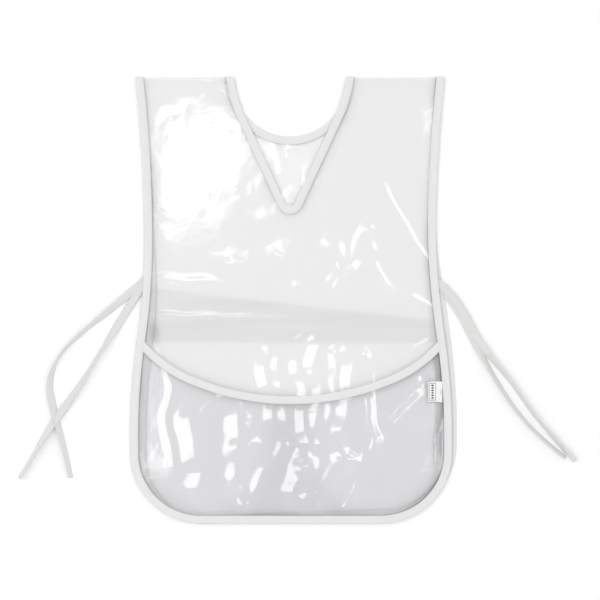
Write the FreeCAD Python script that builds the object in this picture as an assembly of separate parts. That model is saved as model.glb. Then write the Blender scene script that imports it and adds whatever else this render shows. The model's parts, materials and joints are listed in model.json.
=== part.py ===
"""Clear PVC salon tabard: a pull-over cape with a front and a back panel, lying flat on its back.

The front and the back are two cut sheets of clear film that meet in a fold over each shoulder. White tape
is folded over every raw edge and stitched down. A third sheet, with a hollow upper edge, is caught in the
front's edge tape as a full-width pocket. Two tape ties leave each side of the waist, one sewn to the front's
edge and one to the back's, and a small woven label hangs out of the front's right seam.

Millimetres. +Z up off the table, +Y towards the shoulders, +X to the right of the front seen from above.
The origin is on the table, under the middle of the folded garment without its ties.
"""
import FreeCAD, Part
import math
import os

from FreeCAD import Vector

# ---- overall cut of a panel
LENGTH = 700.0            # shoulder fold to hem
SHOULDER_WIDTH = 484.0    # across both shoulder tips
WAIST_WIDTH = 456.0       # the narrowest place
HIP_WIDTH = 500.0         # the widest place
WAIST_DROP = 260.0        # shoulder fold down to the narrowest place
HIP_RISE = 140.0          # hem up to the widest place
CORNER_RADIUS = 110.0     # the two rounded lower corners

# ---- neck opening, which front and back share at the fold
NECK_WIDTH = 176.0
BACK_NECK_DEPTH = 94.0
V_DEPTH = 203.0
V_SHOULDER_DROP = 70.0    # where the front neckline turns from its arc into the straight V
V_SHOULDER_HALF = 66.5    # and how far from the middle it does so
V_ARC_BOW = 3.0           # how far that arc stands out from its chord
V_TIP_RADIUS = 8.0

# ---- pocket
MOUTH_RISE = 199.0        # hem up to the lowest point of the pocket's mouth
MOUTH_RADIUS = 392.0      # the flatter arc in the middle
MOUTH_MIDDLE_HALF = 157.0 # half that arc's width
MOUTH_OVERREACH = 24.0    # how far the side arcs would pass the hips before they run upright

# ---- materials' thicknesses and the layers of the folded garment
SHEET = 0.3               # clear film
TAPE = 0.35               # one layer of woven tape
BAND = 12.0               # width of the folded tape on each face of an edge
LAYER_GAP = 3.0           # air between the back's tape and the front's
MOUTH_CLEARANCE = 0.05    # air between the front film and the tape on the pocket's mouth
SEAM_GAP = 0.3            # between the two halves of the shoulder fold
HINGE_OUTSIDE = 0.2       # the fold turns about a line this far outside the tape

# ---- thread
THREAD = 0.5              # width of a row of stitches
THREAD_HEIGHT = 0.2
STITCH_INSET = 2.0        # row of stitches to the tape's inner edge
SHOULDER_ROW_DROP = 5.0   # row of stitches below the shoulder fold

# ---- ties
TIE_WIDTH = 12.0
TIE_LAYERS = 2
TIE_DROP = 316.0          # shoulder fold down to the ties' roots
TIE_TUCK = 5.0            # root inside the garment's edge
TIE_CLEARANCE = 0.3       # back tie over the back's stitches
TACK_CLEARANCE = 0.4      # front's tape over the bar tack
TACK = 8.0                # length of a bar tack across its tie
TACK_WIDTH = 2.5
TACK_INSET = 1.6          # bar tack to the tie's sewn end

# ---- woven label
LABEL_OUT = 18.0          # from the seam to its loose fold
LABEL_LONG = 32.0         # along the seam
LABEL_THICK = 0.4
LABEL_RISE = 206.0        # hem up to its middle
LABEL_SEAM_GAP = 0.7      # its root to the tape
LABEL_OVER_FILM = 0.1

# Each tie's route from its root, as steps outward and downward. The front ties lie over the back ones.
TIE_ROUTES = {
    "front_left": [(0, 0), (36, 58), (75, 118), (105, 169), (148, 228), (177, 275), (199, 313)],
    "back_left": [(0, 0), (45, 40), (97, 81), (138, 119), (155, 165), (146, 208), (130, 260), (119, 312)],
    "front_right": [(0, 0), (29, 24), (50, 58), (77, 110), (117, 154), (153, 208), (188, 249), (222, 286)],
    "back_right": [(0, 0), (24, 26), (47, 63), (70, 109), (97, 158), (130, 208), (169, 251), (207, 281)],
}
ROUTE_ARC_SHARE = 0.45    # each bend takes this share of the shorter of its two runs

# ---- places that follow from those
EDGE_THICK = 2 * TAPE + SHEET
BACK_Z = 0.0
FRONT_Z = EDGE_THICK + LAYER_GAP
POCKET_Z = FRONT_Z + TAPE + SHEET + MOUTH_CLEARANCE + TAPE
POCKET_TOP = POCKET_Z + SHEET + TAPE
FOLD_Z = (BACK_Z + FRONT_Z + EDGE_THICK) / 2
FOLD_RADIUS = FOLD_Z - BACK_Z
FOLD_TOP = LENGTH / 2
PANEL_TOP = FOLD_TOP - FOLD_RADIUS    # the flat part of each panel ends here
HEM = -LENGTH / 2
BEYOND = 60.0                         # how far cutting shapes run past the panel
TIE_THICK = TIE_LAYERS * TAPE
BACK_TIE_Z = BACK_Z + EDGE_THICK + THREAD_HEIGHT + TIE_CLEARANCE
FRONT_TIE_Z = FRONT_Z - TACK_CLEARANCE - THREAD_HEIGHT - TIE_THICK


def at(x, y, z=0.0):
    return Vector(x, y, z)


def arc(a, b, c):
    return Part.Arc(a, b, c).toShape()


def line(a, b):
    return Part.LineSegment(a, b).toShape()


def ray(angle):
    """A unit step at that angle from straight down, turning to the right."""
    return at(math.sin(angle), -math.cos(angle))


def bend_between(start, end, upright_at_start):
    """The arc from start to end that runs upright at one of them."""
    level = end.x - start.x
    upright = end.y - start.y
    radius = (level ** 2 + upright ** 2) / (2 * abs(level))
    turn = math.asin(abs(upright) / radius) / 2
    along = radius * math.sin(turn) * math.copysign(1, upright)
    across = radius * (1 - math.cos(turn)) * math.copysign(1, level)
    if upright_at_start:
        middle = at(start.x + across, start.y + along)
    else:
        middle = at(end.x - across, end.y - along)
    return arc(start, middle, end)


def right_side():
    """The right edge, from above the shoulder tip down to the middle of the hem."""
    tip = at(SHOULDER_WIDTH / 2, PANEL_TOP)
    waist = at(WAIST_WIDTH / 2, FOLD_TOP - WAIST_DROP)
    hip = at(HIP_WIDTH / 2, HEM + HIP_RISE)
    halfway = (waist + hip) / 2
    corner = at(HIP_WIDTH / 2, HEM + CORNER_RADIUS)
    corner_end = at(HIP_WIDTH / 2 - CORNER_RADIUS, HEM)
    slant = CORNER_RADIUS * (1 - math.sqrt(0.5))
    corner_middle = at(HIP_WIDTH / 2 - slant, HEM + slant)
    return [
        line(at(tip.x, tip.y + BEYOND), tip),
        bend_between(tip, waist, upright_at_start=False),
        bend_between(waist, halfway, upright_at_start=True),
        bend_between(halfway, hip, upright_at_start=False),
        line(hip, corner),
        arc(corner, corner_middle, corner_end),
        line(corner_end, at(0, HEM)),
    ]


def with_mirror_image(edges):
    """Edges on the right of the middle, with the same edges on its left."""
    return edges + [edge.mirror(at(0, 0), Vector(1, 0, 0)) for edge in edges]


def region(edges):
    wire = Part.Wire(Part.__sortEdges__(edges))
    return Part.Face(wire)


def grown(face, by):
    """The face with its outline moved out by that much, or in where it is negative."""
    return face.makeOffset2D(by) if by else face


def cut_shape(inset=0.0):
    """Everything inside the sides and the hem, running past the shoulders."""
    top = PANEL_TOP + BEYOND
    shoulder = SHOULDER_WIDTH / 2
    edges = with_mirror_image(right_side()) + [line(at(shoulder, top), at(-shoulder, top))]
    return grown(region(edges), -inset)


def neck_shape(front, outset=0.0):
    """The neck opening, running past the shoulders: a V on the front, one arc on the back."""
    top = PANEL_TOP + BEYOND
    corner = at(NECK_WIDTH / 2, PANEL_TOP)
    edges = [line(at(corner.x, top), corner)]
    if front:
        turn = at(V_SHOULDER_HALF, FOLD_TOP - V_SHOULDER_DROP)
        chord = turn - corner
        bow = at(-chord.y, chord.x).normalize() * V_ARC_BOW
        tip = at(0, FOLD_TOP - V_DEPTH + V_TIP_RADIUS)
        to_turn = turn - tip
        tip_turn = math.pi / 2 + math.atan2(to_turn.y, to_turn.x) - math.acos(V_TIP_RADIUS / to_turn.Length)
        touch, halfway, lowest = (tip + ray(a) * V_TIP_RADIUS for a in (tip_turn, tip_turn / 2, 0))
        edges.append(arc(corner, (corner + turn) / 2 + bow, turn))
        edges += [line(turn, touch), arc(touch, halfway, lowest)]
    else:
        depth = BACK_NECK_DEPTH - FOLD_RADIUS
        radius = (corner.x ** 2 + depth ** 2) / (2 * depth)
        middle = at(0, PANEL_TOP - depth + radius)
        corner_turn = math.atan2(corner.x, radius - depth)
        edges.append(arc(corner, middle + ray(corner_turn / 2) * radius, middle + ray(0) * radius))
    edges = with_mirror_image(edges) + [line(at(corner.x, top), at(-corner.x, top))]
    return grown(region(edges), outset)


def below(y):
    """Everything below a level line, as a cutting face."""
    side = HIP_WIDTH + SHOULDER_WIDTH
    return Part.makePlane(2 * side, y - HEM + BEYOND, at(-side, HEM - BEYOND))


def under_mouth(inset=0.0):
    """Everything below the pocket's mouth: a flat arc in the middle and a tighter one up each side."""
    middle = at(0, HEM + MOUTH_RISE + MOUTH_RADIUS)
    turn = math.asin(MOUTH_MIDDLE_HALF / MOUTH_RADIUS)
    reach = HIP_WIDTH / 2 + MOUTH_OVERREACH
    side_radius = (reach - MOUTH_MIDDLE_HALF) / (1 - math.sin(turn))
    side_middle = middle + ray(turn) * (MOUTH_RADIUS - side_radius)
    lowest, halfway, join = (middle + ray(a) * MOUTH_RADIUS for a in (0, turn / 2, turn))
    side_halfway = side_middle + ray((turn + math.pi / 2) / 2) * side_radius
    side_end = at(reach, side_middle.y)
    edges = with_mirror_image([arc(lowest, halfway, join), arc(join, side_halfway, side_end)])
    hollow = region(edges + [line(side_end, at(-side_end.x, side_end.y))])
    return below(side_end.y).cut(grown(hollow, inset))


def panel_face(front, inset=0.0):
    """A panel's outline, moved in on all its edges but the shoulders."""
    return cut_shape(inset).common(below(PANEL_TOP)).cut(neck_shape(front, inset))


def raised(face, z, height):
    plate = face.copy()
    plate.translate(at(0, 0, z))
    return plate.extrude(at(0, 0, height))


def solid_of(shape):
    """The shape's solids, with coplanar faces merged."""
    shape = shape.removeSplitter()
    return shape.Solids[0] if len(shape.Solids) == 1 else Part.makeCompound(shape.Solids)


def over_shoulder(shape, front):
    """The shape with its cut ends at the shoulders carried a quarter turn round the fold."""
    axis = Vector(-1, 0, 0) if front else Vector(1, 0, 0)
    ends = [
        f for f in shape.Faces
        if f.BoundBox.YLength < 1e-6 and abs(f.BoundBox.YMin - PANEL_TOP) < 1e-6
    ]
    bends = [end.revolve(at(0, PANEL_TOP, FOLD_Z), axis, 90) for end in ends]
    seam = Part.makeBox(
        2 * SHOULDER_WIDTH, 2 * FOLD_RADIUS, SEAM_GAP, at(-SHOULDER_WIDTH, PANEL_TOP, FOLD_Z - SEAM_GAP / 2)
    )
    return shape.fuse([Part.Solid(bend) for bend in bends]).cut(seam)


def film(front):
    z = (FRONT_Z if front else BACK_Z) + TAPE
    return raised(panel_face(front, TAPE), z, SHEET)


def pocket_film():
    return raised(cut_shape(TAPE).common(under_mouth(TAPE)), POCKET_Z, SHEET)


def edge_band(front, start=0.0, end=BAND):
    """The strip of a panel that lies between start and end from its sides and its hem."""
    return cut_shape(start).cut(cut_shape(end)).common(below(PANEL_TOP)).cut(neck_shape(front))


def neck_band(front, start=0.0, end=BAND):
    """The strip of a panel that lies between start and end from its neckline."""
    strip = neck_shape(front, end).cut(neck_shape(front, start))
    return strip.common(below(PANEL_TOP)).common(cut_shape(BAND))


def mouth_band(start=0.0, end=BAND):
    """The same along the pocket's mouth, between the two side tapes."""
    return under_mouth(start).cut(under_mouth(end)).common(cut_shape(BAND))


def edge_binding(front):
    z = FRONT_Z if front else BACK_Z
    tape = raised(edge_band(front), z, EDGE_THICK)
    if front:
        step = raised(edge_band(front).common(under_mouth()), z + EDGE_THICK, POCKET_TOP - z - EDGE_THICK)
        tape = tape.fuse(step).cut(pocket_film())
    return tape.cut(film(front))


def neck_binding(front):
    z = FRONT_Z if front else BACK_Z
    return raised(neck_band(front), z, EDGE_THICK).cut(film(front))


def mouth_binding():
    return raised(mouth_band(), POCKET_Z - TAPE, EDGE_THICK).cut(pocket_film())


def stitch_row(band_function, *arguments):
    """A row of stitches along a tape's inner edge, as a flat outline."""
    middle = BAND - STITCH_INSET
    return band_function(*arguments, middle - THREAD / 2, middle + THREAD / 2)


def edge_stitching(front):
    z = (FRONT_Z if front else BACK_Z) + EDGE_THICK
    row = stitch_row(edge_band, front)
    if not front:
        return raised(row, z, THREAD_HEIGHT)
    pocket = under_mouth()
    return Part.makeCompound(
        [raised(row.cut(pocket), z, THREAD_HEIGHT), raised(row.common(pocket), POCKET_TOP, THREAD_HEIGHT)]
    )


def neck_stitching(front):
    z = (FRONT_Z if front else BACK_Z) + EDGE_THICK
    return raised(stitch_row(neck_band, front), z, THREAD_HEIGHT)


def mouth_stitching():
    return raised(stitch_row(mouth_band), POCKET_TOP, THREAD_HEIGHT)


def shoulder_stitching(side):
    """The row that closes one shoulder, from the neck's tape to the armhole's."""
    y = FOLD_TOP - SHOULDER_ROW_DROP
    start = 0 if side == "right" else -SHOULDER_WIDTH
    row = Part.makePlane(SHOULDER_WIDTH, THREAD, at(start, y - THREAD / 2))
    row = row.common(cut_shape(BAND)).cut(neck_shape(True, BAND))
    return raised(row, FRONT_Z + TAPE + SHEET, THREAD_HEIGHT)


def half_width(y, inset=0.0):
    """From the middle to the panel's right edge at that height."""
    level = line(at(0, y), at(HIP_WIDTH + SHOULDER_WIDTH, y))
    return level.common(cut_shape(inset)).BoundBox.XMax


def tie_root(tie):
    y = FOLD_TOP - TIE_DROP
    side = 1 if tie.endswith("right") else -1
    return at(side * (half_width(y) - TIE_TUCK), y, FRONT_TIE_Z if tie.startswith("front") else BACK_TIE_Z)


def tie_points(tie):
    root = tie_root(tie)
    side = math.copysign(1, root.x)
    return [root + at(side * out, -down) for out, down in TIE_ROUTES[tie]]


def rounded_route(points):
    """Straight runs joined by tangent arcs, and the arcs' radii."""
    edges, radii = [], []
    here = points[0]
    for before, corner, after in zip(points, points[1:], points[2:]):
        to_before = before - corner
        to_after = after - corner
        half_turn = (math.pi - to_before.getAngle(to_after)) / 2
        reach = ROUTE_ARC_SHARE * min(to_before.Length, to_after.Length)
        radius = reach / math.tan(half_turn)
        leave = corner + to_before.normalize() * reach
        join = corner + to_after.normalize() * reach
        inward = (leave + join) / 2 - corner
        apex = corner + inward.normalize() * (radius / math.cos(half_turn) - radius)
        edges += [line(here, leave), arc(leave, apex, join)]
        radii.append(radius)
        here = join
    return edges + [line(here, points[-1])], radii


def tie(name):
    """One tie: tape folded in two and stitched, swept flat along its route."""
    points = tie_points(name)
    edges, radii = rounded_route(points)
    path = Part.Wire(edges)
    along = (points[1] - points[0]).normalize()
    across = Vector(-along.y, along.x, 0) * (TIE_WIDTH / 2)
    up = at(0, 0, TIE_THICK)
    start = points[0]
    corners = [start - across, start + across, start + across + up, start - across + up]
    profile = Part.makePolygon(corners + corners[:1])
    solid = path.makePipeShell([profile], True, False)
    expected = TIE_WIDTH * TIE_THICK * path.Length
    share = solid.Volume / expected
    print(f"{name}: length {path.Length:.0f}, smallest radius {min(radii):.0f}, volume {share:.3f} of full")
    return solid


def bar_tack(name):
    """The dense row of stitches across a tie's sewn end."""
    start, second = tie_points(name)[:2]
    along = (second - start).normalize()
    across = Vector(-along.y, along.x, 0)
    corner = start + along * TACK_INSET - across * (TACK / 2) + at(0, 0, TIE_THICK)
    far = corner + along * TACK_WIDTH
    corners = [corner, far, far + across * TACK, corner + across * TACK]
    return Part.Face(Part.makePolygon(corners + corners[:1])).extrude(at(0, 0, THREAD_HEIGHT))


def label():
    """The woven label, lying on the pocket with its root at the right side tape."""
    low = HEM + LABEL_RISE - LABEL_LONG / 2
    root = min(half_width(low, BAND), half_width(low + LABEL_LONG, BAND)) - LABEL_SEAM_GAP
    z = POCKET_Z + SHEET + LABEL_OVER_FILM
    return Part.makeBox(LABEL_OUT, LABEL_LONG, LABEL_THICK, at(root - LABEL_OUT, low, z))


def build():
    parts = {
        "back_panel": over_shoulder(film(False), False),
        "back_edge_binding": over_shoulder(edge_binding(False), False),
        "back_neck_binding": over_shoulder(neck_binding(False), False),
        "back_edge_stitching": edge_stitching(False),
        "back_neck_stitching": neck_stitching(False),
        "front_panel": over_shoulder(film(True), True),
        "front_edge_binding": over_shoulder(edge_binding(True), True),
        "front_neck_binding": over_shoulder(neck_binding(True), True),
        "front_edge_stitching": edge_stitching(True),
        "front_neck_stitching": neck_stitching(True),
        "pocket_panel": pocket_film(),
        "pocket_mouth_binding": mouth_binding(),
        "pocket_mouth_stitching": mouth_stitching(),
        "care_label": label(),
    }
    for side in ("left", "right"):
        parts[f"shoulder_stitching_{side}"] = shoulder_stitching(side)
    for name in TIE_ROUTES:
        parts[f"tie_{name}"] = tie(name)
        parts[f"bar_tack_{name}"] = bar_tack(name)
    return parts


def main():
    os.makedirs("parts", exist_ok=True)
    for name, shape in build().items():
        solid = solid_of(shape)
        box = solid.BoundBox
        print(
            f"{name}: {len(solid.Solids)} solid(s), valid {solid.isValid()}, {solid.Volume / 1000:.2f} cm3, "
            f"x {box.XMin:.1f}..{box.XMax:.1f}, y {box.YMin:.1f}..{box.YMax:.1f}, "
            f"z {box.ZMin:.2f}..{box.ZMax:.2f}"
        )
        solid.exportStep(f"parts/{name}.step")
    print(f"fold axis y {FOLD_TOP + HINGE_OUTSIDE:.2f} z {FOLD_Z:.2f}")
    for name in TIE_ROUTES:
        root = tie_root(name)
        print(f"{name} root {root.x:.3f} {root.y:.3f} {root.z:.3f}")


main()
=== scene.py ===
"""A clear film salon tabard that lies flat on a white table, seen from straight above.

Metres, in the CAD's frame. Each film sheet is meshed inside its CAD outline and laid down by its panel. Tapes
and stitches are swept along the same outlines, and the ties along routes of their own.
"""

import json
import math

import bmesh
import bpy
import numpy as np
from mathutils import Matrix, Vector, noise
from mathutils.geometry import delaunay_2d_cdt


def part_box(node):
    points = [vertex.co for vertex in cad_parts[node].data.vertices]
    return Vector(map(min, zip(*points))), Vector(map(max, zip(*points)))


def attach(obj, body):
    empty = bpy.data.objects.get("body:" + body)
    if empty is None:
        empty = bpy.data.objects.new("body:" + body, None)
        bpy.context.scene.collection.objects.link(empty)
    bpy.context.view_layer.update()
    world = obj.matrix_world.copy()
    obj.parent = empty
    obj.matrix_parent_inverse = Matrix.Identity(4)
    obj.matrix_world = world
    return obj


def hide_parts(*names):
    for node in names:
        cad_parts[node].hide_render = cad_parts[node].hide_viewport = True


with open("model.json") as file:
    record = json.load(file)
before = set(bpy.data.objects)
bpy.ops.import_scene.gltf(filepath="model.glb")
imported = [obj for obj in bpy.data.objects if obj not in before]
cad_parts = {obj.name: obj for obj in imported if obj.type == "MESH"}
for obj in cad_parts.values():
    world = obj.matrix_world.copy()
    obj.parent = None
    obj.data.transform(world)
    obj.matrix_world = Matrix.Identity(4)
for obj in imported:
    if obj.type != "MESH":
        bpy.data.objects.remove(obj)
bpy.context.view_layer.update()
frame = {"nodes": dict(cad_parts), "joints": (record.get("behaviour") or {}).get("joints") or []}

UP = Vector((0, 0, 1))


def joint_place(name):
    """Where the CAD's joint of that name lies."""
    return Vector(next(joint["pos_m"] for joint in frame["joints"] if joint["name"] == name))


# ---- camera, straight above
VIEW_WIDTH = 0.942     # width of table that it sees
CAMERA_HEIGHT = 2.5
CAMERA_SIDE = 0.0157   # how far right of the garment's middle it hangs
SENSOR = 36.0          # in millimetres

# ---- from the frame
FOLD = joint_place("shoulder_fold")
GARMENT_LOW, GARMENT_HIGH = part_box("front_edge_binding")
HIP_HALF = GARMENT_HIGH[0]
PANEL_TOP = GARMENT_HIGH[1] - 0.0025  # the panels' flat ends there and the fold begins
FOLD_LINE = PANEL_TOP - 1e-4  # outline points past it belong to the fold
MOUTH_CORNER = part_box("pocket_panel")[1][1]

# ---- the cut
CORNER_RADIUS = 0.11   # of the hem's corners
MOUTH_RADIUS = 0.392
MOUTH_CENTRE = -0.151 + MOUTH_RADIUS  # the pocket's mouth bows down to y -0.151

# ---- tapes, ties and stitches
BAND = 0.012           # width of the tape once folded
TAPE_LIFT = 0.0005     # tape's faces from the film
TAPE_OVERHANG = 0.00035  # tape's fold past the film's cut edge
MOUTH_TUCK = BAND - 0.007  # the mouth's tape stops that far inside the sides
TIE_WIDTH = 0.012
TIE_THICK = 0.0009
STITCH_INSET = 0.0098  # from the tape's fold
STITCH_LIFT = 0.0001   # over the tape's face
STITCH_LENGTH = 0.0030
STITCH_STEP = 0.0041
STITCH_JITTER = 0.00018
THREAD_RADIUS = 0.00028
TIE_THREAD_RADIUS = 0.00022
TACK_THREAD_RADIUS = 0.0002
RUN_STEP = 0.003       # between the rings of a sweep
NECK_STEP = RUN_STEP * 0.7

# ---- sheets
BACK_FILM = 0.0005     # their heights over the table
FRONT_FILM = 0.0045
POCKET_GAP = 0.0007    # pocket's film over the front's
MESH_STEP = 0.0036
ROW_SHARE = 0.87       # of a mesh step, between rows
PAINTED_SEAM_SHADE_REACH = 0.025    # the painted seam shade reaches that far in from the film's cut edge
FOLD_ROWS = 4          # mesh rows round each half of the shoulder fold
CREST_TURN = math.pi / 2 * 0.98  # a layer stops turning just short of the crest
SHARP_FOLD = 0.0095    # folds no wider than this get mesh rows of their own
CREASE_STEP = 0.0035
CREASE_ROWS = (-1.5, -1.0, -0.65, -0.3, 0.0, 0.3, 0.65, 1.0, 1.5)

# ---- how the layers lie out of line at the hips
DRIFT_TOP = 0.15       # none from this height up
DRIFT_REACH = 0.20     # all of it this far below
BACK_DRIFT = 0.0115    # the back lies that far to the right of the front
BACK_RISE = 0.0095     # and that much higher at its right corner, lower at its left
BACK_UP = 0.0035       # and that much higher everywhere along the hem
FRONT_SPREAD = 0.0038  # the front's right side lies that much further out


def smooth(t):
    """0 to 1 as t goes from 0 to 1, with no kink at either end."""
    t = min(max(t, 0.0), 1.0)
    return t * t * (3 - 2 * t)


# ---- camera

def make_camera():
    data = bpy.data.cameras.new("camera")
    data.sensor_width = SENSOR
    data.lens = SENSOR * CAMERA_HEIGHT / VIEW_WIDTH
    camera = bpy.data.objects.new("camera", data)
    camera.location = (CAMERA_SIDE, 0, CAMERA_HEIGHT)
    bpy.context.scene.collection.objects.link(camera)
    bpy.context.scene.camera = camera


# ---- materials

def new_material(name):
    material = bpy.data.materials.new(name)
    material.use_nodes = True
    tree = material.node_tree
    tree.nodes.clear()
    return material, tree, add(tree, "OutputMaterial")


def add(tree, kind, sockets=(), **values):
    """A shader node. Sockets are pairs of an input's name or number and its value."""
    node = tree.nodes.new("ShaderNode" + kind)
    for key, value in values.items():
        if key in node.inputs:
            node.inputs[key].default_value = value
        else:
            setattr(node, key, value)
    for key, value in sockets:
        node.inputs[key].default_value = value
    return node


def join(source, output, target, name):
    source.id_data.links.new(source.outputs[output], target.inputs[name])


# Sockets of a Mix node for colours. Its share is socket 0.
MIX_A, MIX_B, MIX_RESULT = 6, 7, 2
# Painted shade: the dark line painted on the film just inside its tape, where the tape's edge shades it:
# (inset from the cut edge, strength).
PAINTED_SEAM_SHADE_STOPS = [(BAND - 0.0004, 0.0), (BAND + 0.0001, 1.0), (BAND + 0.0010, 0.75), (BAND + 0.0022, 0.14),
               (PAINTED_SEAM_SHADE_REACH, 0.0)]
PAINTED_SEAM_SHADE_PASS = 0.56        # light that the film passes where its painted seam shade is darkest
# Painted shade: the tint that the film's shade attribute multiplies into its colour.
PAINTED_SHADE_TINT = (0.70, 0.70, 0.71, 1)
MILK = (0.90, 0.91, 0.93, 1)
FILM_ROUGHNESS = 0.095
GLANCING_POWER = 5.0   # mirroring grows so steeply towards a glancing view


def grey(level):
    return (level, level, level, 1)


def film_tone(tree, tint):
    """The light that film passes, less where shade is painted on it.

    The sheet carries inset, the distance from its taped edge; painted_seam_shade, how strong the painted
    shade beside its tape is; and shade, how much painted shade darkens it in a fold band, beside a fold and
    towards corners.
    """
    inset = add(tree, "Attribute", attribute_name="inset")
    to_ramp = add(tree, "Math", [(1, 1 / PAINTED_SEAM_SHADE_REACH)], operation="MULTIPLY")
    ramp = add(tree, "ValToRGB")
    while len(ramp.color_ramp.elements) < len(PAINTED_SEAM_SHADE_STOPS):
        ramp.color_ramp.elements.new(0.5)
    for element, (spot, level) in zip(ramp.color_ramp.elements, PAINTED_SEAM_SHADE_STOPS):
        element.position = spot / PAINTED_SEAM_SHADE_REACH
        element.color = grey(level)
    painted_seam_shade = add(tree, "Attribute", attribute_name="painted_seam_shade")
    amount = add(tree, "Math", operation="MULTIPLY", use_clamp=True)
    plain = (tint, tint, min(1.0, tint * 1.004), 1)
    seam_shaded_tint = (tint * PAINTED_SEAM_SHADE_PASS, tint * PAINTED_SEAM_SHADE_PASS, tint * (PAINTED_SEAM_SHADE_PASS + 0.01), 1)
    tone = add(tree, "Mix", [(MIX_A, plain), (MIX_B, seam_shaded_tint)], data_type="RGBA")
    shade = add(tree, "Attribute", attribute_name="shade")
    shaded_tone = add(tree, "Mix", [(MIX_B, PAINTED_SHADE_TINT)], data_type="RGBA", blend_type="MULTIPLY")
    join(inset, "Fac", to_ramp, 0)
    join(to_ramp, "Value", ramp, "Fac")
    join(ramp, "Color", amount, 0)
    join(painted_seam_shade, "Fac", amount, 1)
    join(amount, "Value", tone, 0)
    join(shade, "Fac", shaded_tone, 0)
    join(tone, MIX_RESULT, shaded_tone, MIX_A)
    return shaded_tone


def film_material(name, tint, haze, mirror):
    """Clear glossy film: it passes most light, mirrors the lamps, and is very slightly milky."""
    material, tree, output = new_material(name)
    clear = add(tree, "BsdfTransparent")
    milky = add(tree, "BsdfDiffuse", Color=MILK)
    body = add(tree, "MixShader", Fac=haze)
    gloss = add(tree, "BsdfGlossy", Color=grey(1), Roughness=FILM_ROUGHNESS)
    facing = add(tree, "LayerWeight", Blend=0.5)
    glancing = add(tree, "Math", [(1, GLANCING_POWER)], operation="POWER")
    share = add(tree, "Math", [(1, 1 - mirror), (2, mirror)], operation="MULTIPLY_ADD", use_clamp=True)
    surface = add(tree, "MixShader")
    place = add(tree, "NewGeometry")
    ripple = add(tree, "TexNoise", Scale=70.0, Detail=3.0, Roughness=0.5)
    bump = add(tree, "Bump", Strength=0.25, Distance=0.0008)
    join(film_tone(tree, tint), MIX_RESULT, clear, "Color")
    join(place, "Position", ripple, "Vector")
    join(ripple, "Fac", bump, "Height")
    join(bump, "Normal", gloss, "Normal")
    join(bump, "Normal", facing, "Normal")
    join(clear, 0, body, 1)
    join(milky, 0, body, 2)
    join(facing, "Facing", glancing, 0)
    join(glancing, "Value", share, 0)
    join(share, "Value", surface, 0)
    join(body, 0, surface, 1)
    join(gloss, 0, surface, 2)
    join(surface, 0, output, "Surface")
    return material


def woven_material(name, colour, thread_step, roughness=0.65):
    """Plain weave along the piece's own UV, in metres, with uneven whiteness."""
    material, tree, output = new_material(name)
    sheen = [("Sheen Weight", 0.25), ("Specular IOR Level", 0.35)]
    cloth = add(tree, "BsdfPrincipled", sheen, Roughness=roughness)
    uv = add(tree, "UVMap", uv_map="cloth")
    weave = add(tree, "Math", operation="MAXIMUM")
    scale = math.tau / (20 * thread_step)
    for k, direction in enumerate(("X", "Y")):
        wave = add(tree, "TexWave", bands_direction=direction, Scale=scale, Distortion=0.4)
        join(uv, "UV", wave, "Vector")
        join(wave, "Fac", weave, k)
    bump = add(tree, "Bump", Strength=0.45, Distance=thread_step / 4)
    patch = add(tree, "TexNoise", Scale=60.0, Detail=4.0)
    darker = [c * 0.955 for c in colour]
    tone = add(tree, "Mix", [(MIX_A, (*darker, 1)), (MIX_B, (*colour, 1))], data_type="RGBA")
    join(weave, "Value", bump, "Height")
    join(bump, "Normal", cloth, "Normal")
    join(uv, "UV", patch, "Vector")
    join(patch, "Fac", tone, 0)
    join(tone, MIX_RESULT, cloth, "Base Color")
    join(cloth, 0, output, "Surface")
    return material


def thread_material():
    material, tree, output = new_material("sewing_thread")
    thread = add(tree, "BsdfPrincipled", Roughness=0.5)
    place = add(tree, "NewGeometry")
    twist = add(tree, "TexNoise", Scale=2500.0, Detail=1.0)
    ramp = add(tree, "ValToRGB")
    ramp.color_ramp.elements[0].color = grey(0.74)
    ramp.color_ramp.elements[1].color = grey(0.90)
    join(place, "Position", twist, "Vector")
    join(twist, "Fac", ramp, "Fac")
    join(ramp, "Color", thread, "Base Color")
    join(thread, 0, output, "Surface")
    return material


def floor_material():
    material, tree, output = new_material("white_table")
    matt = [("Base Color", grey(0.985)), ("Specular IOR Level", 0.0)]
    paint = add(tree, "BsdfPrincipled", matt, Roughness=0.9)
    join(paint, 0, output, "Surface")
    return material


# ---- meshes

def new_object(name, points, faces, material, uvs=None):
    mesh = bpy.data.meshes.new(name)
    mesh.from_pydata([tuple(p) for p in points], [], faces)
    mesh.validate()
    mesh.materials.append(material)
    mesh.shade_smooth()
    if uvs is not None:
        layer = mesh.uv_layers.new(name="cloth")
        for loop in mesh.loops:
            layer.data[loop.index].uv = uvs[loop.vertex_index]
    obj = bpy.data.objects.new(name, mesh)
    bpy.context.scene.collection.objects.link(obj)
    return obj


def flat_outline(node):
    """The outline of a CAD sheet's flat upper face, as a closed run of (x, y)."""
    mesh = frame["nodes"][node].data
    flats = [face for face in mesh.polygons if face.normal.z > 0.999]
    areas = {}
    for face in flats:
        level = round(face.center.z, 5)
        areas[level] = areas.get(level, 0) + face.area
    level = max(areas, key=areas.get)
    edges = {}
    for face in flats:
        if abs(level - face.center.z) > 1e-5:
            continue
        corners = [tuple(round(c, 6) for c in mesh.vertices[v].co.xy) for v in face.vertices]
        edges.update(dict.fromkeys(zip(corners, corners[1:] + corners[:1])))
    follows = {a: b for a, b in edges if (b, a) not in edges and a != b}
    start = max(follows, key=lambda p: p[0])
    loop = [start]
    while follows[loop[-1]] != start:
        loop.append(follows[loop[-1]])
    return [Vector(p) for p in loop]


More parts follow.
